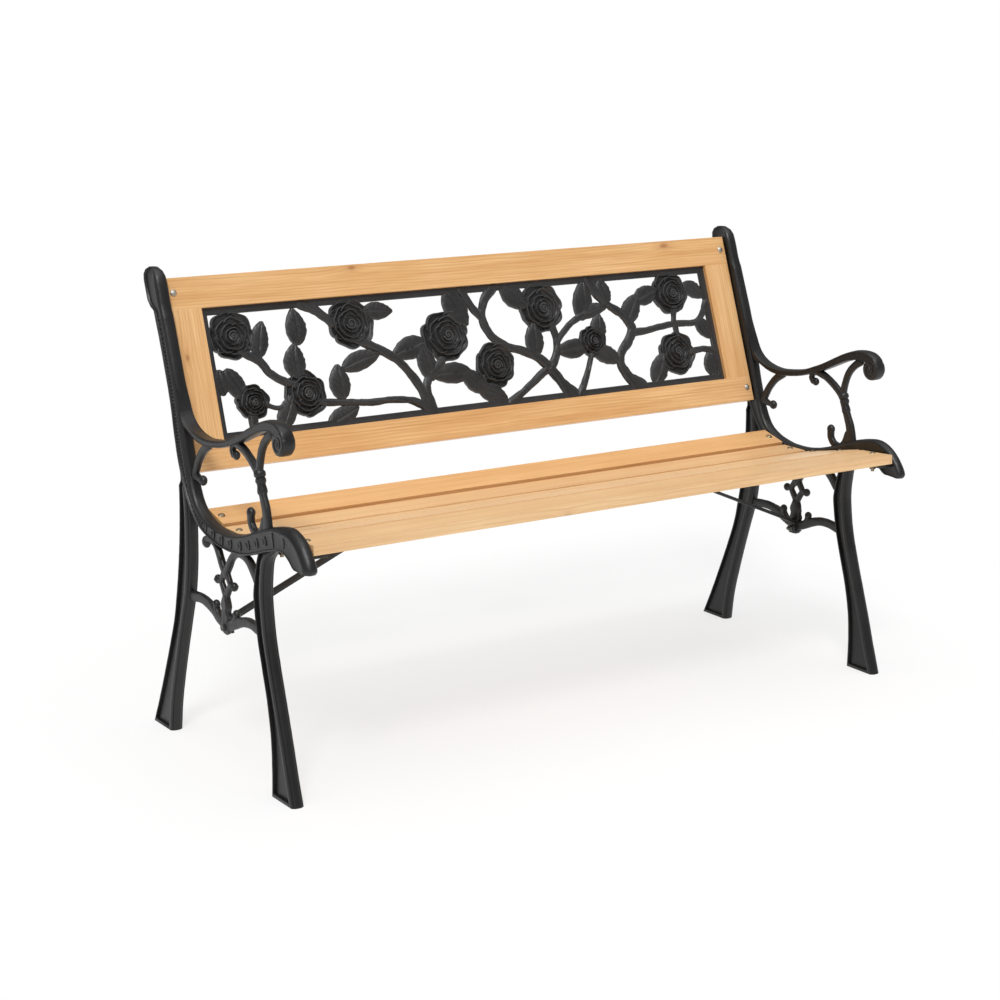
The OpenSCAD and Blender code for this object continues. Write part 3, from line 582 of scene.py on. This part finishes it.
def end_frame(name, node, side, material):
    """One end casting: side is -1 for the left and 1 for the right."""
    bm = bmesh.new()
    add_legs(bm)
    add_band(bm)
    add_band_relief(bm)
    add_arm(bm)
    add_leg_ornament(bm)
    add_lugs(bm)
    cast_surface(bm, 0.25, 0.09)
    place = Matrix(((0, 0, side, side * INNER), (1, 0, 0, 0), (0, 1, 0, 0), (0, 0, 0, 1)))
    return finish_piece(name, bm, place, material, node)


# ------------------------------------------------------------------ rose panel


def add_rim(bm):
    """The panel's frame, mitred at the corners: (distance inwards, w) points."""
    profile = [(-TONGUE, 0), (-TONGUE, PANEL_THICK), (0.6, PANEL_THICK),
               (RIM - 2.4, PANEL_THICK + 0.2), (RIM - 0.8, PANEL_THICK - 0.4),
               (RIM, PANEL_THICK - 1.8), (RIM, 1.4), (RIM - 1, 0)]
    half_width = OPENING.x / 2
    rings = []
    for sx, sy in ((-1, -1), (1, -1), (1, 1), (-1, 1)):
        rings.append([Vector((sx * (half_width - d), OPENING.y / 2 + sy * (OPENING.y / 2 - d), w))
                      for d, w in profile])
    skin(bm, rings, loop=True)


def add_leaf(bm, x, y, length, width, direction, seed):
    """A pointed oval leaf, domed, with a sunk midrib and slanting veins."""
    rng = random.Random(seed)
    bend = rng.uniform(-0.16, 0.16)
    lift = rng.uniform(-0.6, 0.9)
    place = Matrix.Translation((x, y, 0)) @ Matrix.Rotation(math.radians(direction), 4, "Z")
    grid = []
    for i in range(21):
        t = 0.02 + 0.96 * i / 20
        ruffle = 1 + 0.022 * math.sin(2 * math.pi * (4.5 * t + lift))
        half = width / 2 * ruffle * math.sin(math.pi * t ** 0.86) ** 0.72
        row = []
        for j in range(-7, 8):
            s = j / 7
            dome_height = 4.6 * (1 - 0.75 * abs(s) ** 2.2) * math.sin(math.pi * t) ** 0.35
            groove = 1.5 * math.exp(-(s / 0.1) ** 2)
            veins = 0.8 * math.sin(2 * math.pi * (t * 7 - abs(s) * 1.6)) * abs(s) ** 0.5
            u = (t - 0.5) * length
            v = s * half + bend * length * math.sin(math.pi * t) * 0.25
            row.append(place @ Vector((u, v, 4.2 + lift + dome_height - groove + veins)))
        grid.append(row)
    patch(bm, grid, 1.2)


def add_petal(bm, centre, middle_angle, span, inner, outer, low, high, rng):
    """One petal: hollow, with a ruffled outline and a thin lip standing up along it."""
    wave = rng.uniform(0, 6.28)
    heights = (0, 0.02, 0.05, 0.09, 0.15, 0.3, 0.72, 1, 0.95, 0.45)
    reaches = (0, 0.2, 0.4, 0.57, 0.7, 0.8, 0.87, 0.925, 0.98, 1)
    grid = []
    for reach, height in zip(reaches, heights):
        row = []
        for i in range(-9, 10):
            s = i / 9
            a = middle_angle + span / 2 * s
            edge = outer * (1 - 0.15 * abs(s) ** 4 + 0.035 * math.sin(6 * s + wave))
            r = inner + (edge - inner) * reach
            w = low + (high - low) * height + 1.0 * s * reach - 1.4 * abs(s) ** 5 * reach
            w += 0.6 * math.sin(5 * s + wave) * reach ** 2
            row.append(Vector((centre[0] + r * math.cos(a), centre[1] + r * math.sin(a), w)))
        grid.append(row)
    patch(bm, grid, 1.0)


def add_rose(bm, x, y, radius, seed):
    """Broad outer petals, two tighter turns of petals and a rolled heart."""
    rng = random.Random(seed)
    turn = rng.uniform(0, 6.28)
    lean = rng.uniform(0, 6.28)
    # Petals in a turn, their outer and inner reach, foot, lip, and how far they lean aside.
    layers = [(5, 1.02, 0.45, 2.6, 7.8, 0), (5, 0.77, 0.3, 4.8, 10.4, 0.03),
              (4, 0.55, 0.2, 7.0, 12.6, 0.06), (3, 0.36, 0.08, 9.2, 13.8, 0.06)]
    for count, outer, inner, low, high, shift in layers:
        turn += 0.5
        middle = (x + radius * shift * math.cos(lean), y + radius * shift * math.sin(lean))
        for k in range(count):
            a = turn + 2 * math.pi * k / count + rng.uniform(-0.1, 0.1)
            span = 2 * math.pi / count * 1.3
            size = radius * outer * rng.uniform(0.95, 1.03)
            add_petal(bm, middle, a, span, radius * inner, size, low, high, rng)
    heart = []
    for k in range(37):
        a = turn + 2 * math.pi * 1.7 * k / 36
        r = radius * (0.21 - 0.185 * k / 36)
        heart.append(Vector((middle[0] + r * math.cos(a), middle[1] + r * math.sin(a),
                             radius * 0.075)))
    rope(bm, None, 12.2, 2, sides=8, curve=heart)


def add_branch(bm, knots):
    """A stem with uneven bark."""
    rope(bm, knots, 4.4, 4.2, sides=20, steps=12, square=1.0, lumps=0.28)


def rose_panel(material):
    """The openwork casting. Its rear face is w = 0."""
    bm = bmesh.new()
    add_rim(bm)
    for knots in BRANCHES:
        add_branch(bm, knots)
    for i, leaf in enumerate(LEAVES):
        add_leaf(bm, *leaf, i)
    for i, (x, y, radius) in enumerate(ROSES):
        add_rose(bm, x, y, radius, i)
    cast_surface(bm, 0.45, 0.18)
    place = Matrix((Vector((1, 0, 0)), UP_BACK, -INTO_BACK)).transposed().to_4x4()
    place.translation = BACK_FOOT + UP_BACK * RAIL + INTO_BACK * PANEL_BACK
    return finish_piece("rose_panel_cast", bm, place, material, "rose_panel", 45)


# ------------------------------------------------------------------ materials


class Nodes:
    """A short way to write a node tree."""

    def __init__(self, name):
        self.material = bpy.data.materials.new(name)
        self.material.use_nodes = True
        self.tree = self.material.node_tree
        self.shader = self.tree.nodes["Principled BSDF"]

    def add(self, kind, inputs=None, **settings):
        node = self.tree.nodes.new("ShaderNode" + kind)
        for key, value in settings.items():
            setattr(node, key, value)
        for key, value in (inputs or {}).items():
            if isinstance(value, bpy.types.NodeSocket):
                self.tree.links.new(value, node.inputs[key])
            else:
                node.inputs[key].default_value = value
        return node

    def math(self, operation, a, b=0.0, clamp=False):
        return self.add("Math", {0: a, 1: b}, operation=operation, use_clamp=clamp).outputs[0]

    def vector(self, operation, a, b):
        return self.add("VectorMath", {0: a, 1: b}, operation=operation).outputs[0]

    def noise(self, vector, scale, detail=4.0, rough=0.55):
        inputs = {"Vector": vector, "Scale": scale, "Detail": detail, "Roughness": rough}
        return self.add("TexNoise", inputs).outputs[0]

    def ramp(self, factor, stops):
        node = self.add("ValToRGB", {"Fac": factor})
        ramp = node.color_ramp
        while len(ramp.elements) < len(stops):
            ramp.elements.new(0.5)
        for element, (position, colour) in zip(ramp.elements, stops):
            element.position = position
            element.color = colour if len(colour) == 4 else (*colour, 1)
        return node.outputs[0]

    def mix(self, factor, a, b, blend="MIX"):
        node = self.add("Mix", {0: factor, 6: a, 7: b}, data_type="RGBA", blend_type=blend)
        return node.outputs[2]

    def bump(self, height, strength, distance, normal=None):
        inputs = {"Height": height, "Strength": strength, "Distance": distance}
        if normal is not None:
            inputs["Normal"] = normal
        return self.add("Bump", inputs).outputs[0]

    def set(self, **inputs):
        for key, value in inputs.items():
            socket = self.shader.inputs[key.replace("_", " ")]
            if isinstance(value, bpy.types.NodeSocket):
                self.tree.links.new(value, socket)
            else:
                socket.default_value = value


def grey(value):
    return (value, value, value * 1.03, 1)


def iron_material(name, dark=0.004, light=0.011, grain=1.0, hollow_shade=0.6):
    """Satin charcoal paint over sand-cast iron, lighter on raised edges where it wears thin and as a painted
    highlight, and near black in the hollows as painted shade.
    """
    n = Nodes(name)
    place = n.add("TexCoord").outputs["Object"]
    patches = n.noise(place, 14, 5)
    speck = n.noise(place, 420, 3, 0.7)
    tone = n.ramp(patches, [(0.3, grey(dark)), (0.7, grey(light))])
    tone = n.mix(n.ramp(speck, [(0.45, grey(0)), (0.75, grey(0.5))]), tone, grey(light * 1.5))
    point = n.add("NewGeometry").outputs["Pointiness"]
    # Raised edges: paint worn thin, lightened further as a painted highlight along the ridges.
    edge_wear_and_highlight = n.ramp(point, [(0.505, grey(0)), (0.56, grey(0.55))])
    tone = n.mix(edge_wear_and_highlight, tone, grey(light * 2.2))
    # Hollows: painted shade, a near-black colour where shade falls in grooves and creases.
    hollow = n.ramp(point, [(0.44, grey(hollow_shade)), (0.49, grey(0))])
    tone = n.mix(hollow, tone, grey(0.0015))
    sand = n.noise(place, 900, 2, 0.6)
    ripple = n.noise(place, 110, 3, 0.5)
    normal = n.bump(ripple, 0.35 * grain, 0.0012)
    normal = n.bump(sand, 0.3 * grain, 0.0004, normal)
    rough = n.math("ADD", n.math("MULTIPLY", patches, 0.2), 0.28)
    n.set(Base_Color=tone, Roughness=rough, Normal=normal, Metallic=0.0)
    n.shader.inputs["Specular IOR Level"].default_value = 0.4
    return n.material


def zinc_material(name, dark, light):
    """Zinc plate with fine scratches and dull patches."""
    n = Nodes(name)
    place = n.add("TexCoord").outputs["Object"]
    patches = n.noise(place, 160, 4)
    fine = n.noise(place, 1600, 2)
    tone = n.ramp(patches, [(0.3, dark), (0.7, light)])
    rough = n.math("ADD", n.math("MULTIPLY", patches, 0.3), 0.35)
    n.set(Base_Color=tone, Roughness=rough, Normal=n.bump(fine, 0.12, 0.0002), Metallic=1.0)
    return n.material


def beech_material():
    """Pale beech with short dark flecks."""
    n = Nodes("beech")
    place = n.add("TexCoord").outputs["Object"]
    fleck = n.noise(n.vector("MULTIPLY", place, (300, 900, 900)), 1, 3, 0.6)
    tone = n.ramp(fleck, [(0.35, (0.62, 0.40, 0.24)), (0.65, (0.72, 0.50, 0.32))])
    rough = n.math("ADD", n.math("MULTIPLY", fleck, 0.2), 0.5)
    n.set(Base_Color=tone, Roughness=rough, Normal=n.bump(fleck, 0.15, 0.0003))
    return n.material


PINE_LIGHT = (0.88, 0.585, 0.295, 1)
PINE_MID = (0.76, 0.45, 0.195, 1)
PINE_STREAK = (0.66, 0.345, 0.13, 1)
PINE_LATE = (0.52, 0.245, 0.075, 1)
PINE_PALE = (1.0, 0.74, 0.45, 1)
KNOT = (0.36, 0.15, 0.05, 1)
RINGS_PER_METRE = 230


def board_axes(n, centre, turn, upright):
    """Where a point is on a board: along its grain, across it and through its thickness."""
    here = n.add("TexCoord").outputs["Object"]
    rotation = (0, -turn, math.radians(90)) if upright else (turn, 0, 0)
    board = n.add("Mapping", {"Vector": here, "Location": centre, "Rotation": rotation},
                  vector_type="TEXTURE").outputs[0]
    return n.add("SeparateXYZ", {0: board}).outputs


def add_knots(n, axes, knots, pull):
    """The pull on the grain with the knots' share added, and how dark each point is."""
    along, across, through = axes
    darkness = None
    for kx, ky, kz, radius in knots:
        offsets = [n.math("DIVIDE", n.math("SUBTRACT", along, kx), 2.2),
                   n.math("SUBTRACT", across, ky), n.math("SUBTRACT", through, kz)]
        far = n.add("VectorMath", {0: n.add("CombineXYZ", dict(enumerate(offsets))).outputs[0]},
                    operation="LENGTH").outputs[1]
        share = n.math("DIVIDE", far, 3 * radius)
        swirl = n.math("POWER", 2.718, n.math("MULTIPLY", share, -1.6))
        pull = n.math("ADD", pull, n.math("MULTIPLY", swirl, 0.012))
        dark = n.ramp(share, [(0.12, grey(1)), (0.27, grey(0.6)), (0.4, grey(0.22)), (1.0, grey(0))])
        darkness = dark if darkness is None else n.math("MAXIMUM", darkness, dark)
    return pull, darkness


def late_wood(n, axes, pith, pull):
    """0 in a year's early wood, rising to its late wood, which some years have more of."""
    _, across, through = axes
    y = n.math("SUBTRACT", across, pith[0])
    z = n.math("SUBTRACT", through, pith[1])
    radius = n.math("SQRT", n.math("ADD", n.math("MULTIPLY", y, y), n.math("MULTIPLY", z, z)))
    rings = n.math("MULTIPLY", n.math("ADD", radius, pull), RINGS_PER_METRE)
    year = n.math("FRACT", rings)
    count = n.math("FLOOR", rings)
    strong = n.add("TexWhiteNoise", {"W": count}, noise_dimensions="1D").outputs[0]
    late = n.ramp(year, [(0.0, grey(0.12)), (0.55, grey(0.2)), (0.86, grey(1)), (0.96, grey(0.85)),
                         (1.0, grey(0.12))])
    return n.math("MULTIPLY", late, n.math("ADD", n.math("MULTIPLY", strong, 0.55), 0.3))


def pine_material(name, centre, turn, pith, seed, upright=False, knots=(), tone_and_shade_wash=(0, PINE_PALE)):
    """Varnished pine. centre and turn place the board, pith is the tree's axis seen from
    the board's middle (across, through), knots are (along, across, through, radius), and
    tone_and_shade_wash is a share of one more colour over all, which lifts the pine's tone
    and also serves as painted light on the brighter slats and painted shade on the rear one."""
    n = Nodes(name)
    axes = board_axes(n, centre, turn, upright)
    slow = n.math("MULTIPLY", axes[0], 1.3)
    drift = n.add("CombineXYZ", {0: slow, 1: axes[1], 2: axes[2]}).outputs[0]
    drift = n.vector("ADD", drift, (seed * 3.1, seed * 1.7, seed))
    wander = n.math("SUBTRACT", n.noise(drift, 1.6, 2, 0.4), 0.5)
    near = n.math("SUBTRACT", n.noise(drift, 9, 2, 0.5), 0.5)
    pull = n.math("ADD", n.math("MULTIPLY", wander, 0.02), n.math("MULTIPLY", near, 0.003))
    pull, darkness = add_knots(n, axes, knots, pull)
    late = late_wood(n, axes, pith, pull)
    fibre = n.noise(n.vector("MULTIPLY", drift, (7, 420, 420)), 1, 3, 0.6)
    tint = n.noise(drift, 3.5, 3, 0.5)
    streak = n.noise(n.vector("MULTIPLY", drift, (2, 60, 60)), 1, 3, 0.5)
    tone = n.mix(n.ramp(tint, [(0.3, grey(0)), (0.7, grey(1))]), PINE_LIGHT, PINE_MID)
    tone = n.mix(n.ramp(streak, [(0.44, grey(0)), (0.66, grey(0.6))]), tone, PINE_STREAK)
    tone = n.mix(n.math("MULTIPLY", late, 0.72), tone, PINE_LATE)
    tone = n.mix(n.ramp(fibre, [(0.35, grey(0.42)), (0.6, grey(0))]), tone, PINE_LATE)
    if darkness is not None:
        tone = n.mix(n.math("MULTIPLY", darkness, 0.8), tone, KNOT)
    # One wash over the whole board: a tone, painted light on the brighter slats, painted shade on the rear
    # slat.
    tone = n.mix(tone_and_shade_wash[0], tone, tone_and_shade_wash[1])
    rough = n.math("ADD", n.math("MULTIPLY", fibre, 0.2), 0.32)
    normal = n.bump(fibre, 0.16, 0.0004)
    normal = n.bump(late, 0.12, 0.0005, normal)
    n.set(Base_Color=tone, Roughness=rough, Normal=normal)
    n.shader.inputs["Coat Weight"].default_value = 0.18
    n.shader.inputs["Coat Roughness"].default_value = 0.22
    return n.material


# ------------------------------------------------------------------ pieces that keep their CAD shape


def ease_edges(node, width, segments=3):
    """Welds a CAD node's faces and rounds its edges."""
    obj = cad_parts[node]
    weld = obj.modifiers.new("weld", "WELD")
    weld.merge_threshold = 0.00002
    bevel = obj.modifiers.new("bevel", "BEVEL")
    bevel.limit_method = "ANGLE"
    bevel.angle_limit = math.radians(40)
    bevel.width = width
    bevel.segments = segments
    bevel.harden_normals = True
    return obj


def paint(node, material):
    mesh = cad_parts[node].data
    mesh.materials.clear()
    mesh.materials.append(material)


# Looks of the slats from back to front: the tree's axis, and a wash of colour. The paler washes
# lift the tone and stand in as painted light on the brighter slats; the rear slat's dark wash is painted
# shade.
SLAT_LOOKS = [((0.09, -0.05), (0.4, PINE_STREAK)), ((-0.1, -0.07), (0.15, PINE_PALE)),
              ((0.02, 0.12), (0.45, PINE_PALE)), ((-0.12, -0.05), (0.45, PINE_PALE)),
              ((0.08, -0.07), (0.25, PINE_PALE))]
# Boards of the back: height of the middle up the back, x, seed of the grain, tree's axis.
BACK_BOARDS = {"back_top_rail": (292, 0, 0.011, (0.09, 0.06)),
               "back_bottom_rail": (23, 0, 0.023, (-0.08, 0.08)),
               "back_left_stile": (156, -559, 0.35, (0.08, 0.06)),
               "back_right_stile": (156, 559, 0.71, (-0.1, -0.05))}
KNOTS = {"seat_slat_5": [(-0.124, -0.038, -0.007, 0.004)],
         "back_top_rail": [(-0.238, 0.022, 0.009, 0.004), (0.442, 0.018, 0.009, 0.005)],
         "back_left_stile": [(0.03, 0.012, 0.009, 0.003)]}


def seat_slats():
    for i, ((y, z, tilt, width), (pith, tone_and_shade_wash)) in enumerate(zip(SLATS, SLAT_LOOKS)):
        node = f"seat_slat_{i + 1}"
        centre = (0, (y - width / 2) * MM, (z - SLAT_THICK / 2) * MM)
        paint(node, pine_material(f"pine_slat_{i + 1}", centre, math.radians(tilt), pith,
                                  3.7 * i + 1, knots=KNOTS.get(node, ()), tone_and_shade_wash=tone_and_shade_wash))
        ease_edges(node, 0.0022)


def back_boards():
    for i, (node, (height, x, seed, pith)) in enumerate(BACK_BOARDS.items()):
        middle = BACK_FOOT + UP_BACK * height + INTO_BACK * (BOARD_THICK / 2)
        centre = (x * MM, middle.y * MM, middle.z * MM)
        paint(node, pine_material(f"pine_{node}", centre, math.radians(90) - LEAN, pith,
                                  seed * 9 + i, "stile" in node, KNOTS.get(node, ())))
        ease_edges(node, 0.0009)


def small_parts(zinc, dull_shaded_zinc, grimy_zinc, brace_paint, beech):
    # The seat's bolts get a dull zinc, darker than the back's as painted shade.
    for place, coat in (("seat", dull_shaded_zinc), ("back", zinc), ("brace", grimy_zinc)):
        for kind in ("bolts", "bolt_washers", "bolt_nuts"):
            paint(f"{place}_{kind}", coat)
            ease_edges(f"{place}_{kind}", 0.0003, 2)
    paint("brace_screws", grimy_zinc)
    ease_edges("brace_screws", 0.0003, 2)
    for node in ("left_seat_brace", "right_seat_brace"):
        paint(node, brace_paint)
        ease_edges(node, 0.0006, 2)
    paint("back_dowels", beech)


# ------------------------------------------------------------------ studio


def studio_floor():
    bm = bmesh.new()
    bmesh.ops.create_grid(bm, x_segments=1, y_segments=1, size=400)
    mesh = bpy.data.meshes.new("floor")
    bm.to_mesh(mesh)
    bm.free()
    n = Nodes("floor_white")
    place = n.add("TexCoord").outputs["Object"]
    tone = n.ramp(n.noise(place, 0.7), [(0.3, (0.24, 0.24, 0.24)), (0.7, (0.25, 0.25, 0.25))])
    n.set(Base_Color=tone, Roughness=1.0)
    n.shader.inputs["Specular IOR Level"].default_value = 0.0
    n.shader.inputs["Emission Color"].default_value = (1, 1, 1, 1)
    n.shader.inputs["Emission Strength"].default_value = 0.71
    mesh.materials.append(n.material)
    floor = bpy.data.objects.new("floor", mesh)
    bpy.context.scene.collection.objects.link(floor)


def studio_light():
    world = bpy.data.worlds.new("studio")
    world.use_nodes = True
    sky = world.node_tree.nodes["Background"]
    sky.inputs[0].default_value = (1, 1, 1, 1)
    sky.inputs[1].default_value = 0.28
    bpy.context.scene.world = world

    # Broad lamps far away, so that the floor is lit evenly: direction, spread and power.
    lamps = [("overhead", (-0.1, -0.15, 1), 75, 1.85), ("window", (-0.6, -0.65, 1.0), 14, 1.5)]
    for name, towards, spread, power in lamps:
        data = bpy.data.lights.new(name, "SUN")
        data.angle = math.radians(spread)
        data.energy = power
        lamp = bpy.data.objects.new(name, data)
        lamp.rotation_euler = Vector(towards).to_track_quat("Z", "Y").to_euler()
        bpy.context.scene.collection.objects.link(lamp)


CAMERA_PLACE = (-2.124, -2.955, 1.250)
CAMERA_YAW, CAMERA_PITCH, CAMERA_ROLL = (math.radians(a) for a in (34.68, 11.22, 0.764))


def camera():
    data = bpy.data.cameras.new("camera")
    data.lens = 78.5
    data.sensor_width = 36
    data.shift_x = -0.0035
    data.shift_y = -0.0985
    eye = bpy.data.objects.new("camera", data)
    turn = Matrix.Rotation(-CAMERA_YAW, 4, "Z")
    turn = turn @ Matrix.Rotation(math.pi / 2 - CAMERA_PITCH, 4, "X")
    turn = turn @ Matrix.Rotation(CAMERA_ROLL, 4, "Z")
    eye.matrix_world = Matrix.Translation(CAMERA_PLACE) @ turn
    bpy.context.scene.collection.objects.link(eye)
    bpy.context.scene.camera = eye


# ------------------------------------------------------------------ build

iron = iron_material("cast_iron_paint")
# The rose panel gets a weaker painted shade in its hollows.
rose_iron = iron_material("rose_iron_paint", 0.015, 0.03, 1.2, 0.35)
brace_paint = iron_material("brace_paint", 0.008, 0.014, 0.5)
end_frame("left_end_frame_cast", "left_end_frame", -1, iron)
end_frame("right_end_frame_cast", "right_end_frame", 1, iron)
rose_panel(rose_iron)
seat_slats()
back_boards()
zinc = zinc_material("zinc_plate", (0.36, 0.34, 0.30), (0.54, 0.51, 0.46))
# Dull tan zinc for the seat's bolts, washers and nuts: tarnish, darkened further as painted shade.
dull_shaded_zinc = zinc_material("dull_shaded_zinc_plate", (0.20, 0.155, 0.10), (0.36, 0.29, 0.20))
grimy_zinc = zinc_material("grimy_zinc_plate", (0.07, 0.068, 0.065), (0.22, 0.215, 0.205))
small_parts(zinc, dull_shaded_zinc, grimy_zinc, brace_paint, beech_material())
studio_floor()
studio_light()
camera()
bpy.context.scene.view_settings.view_transform = "Standard"
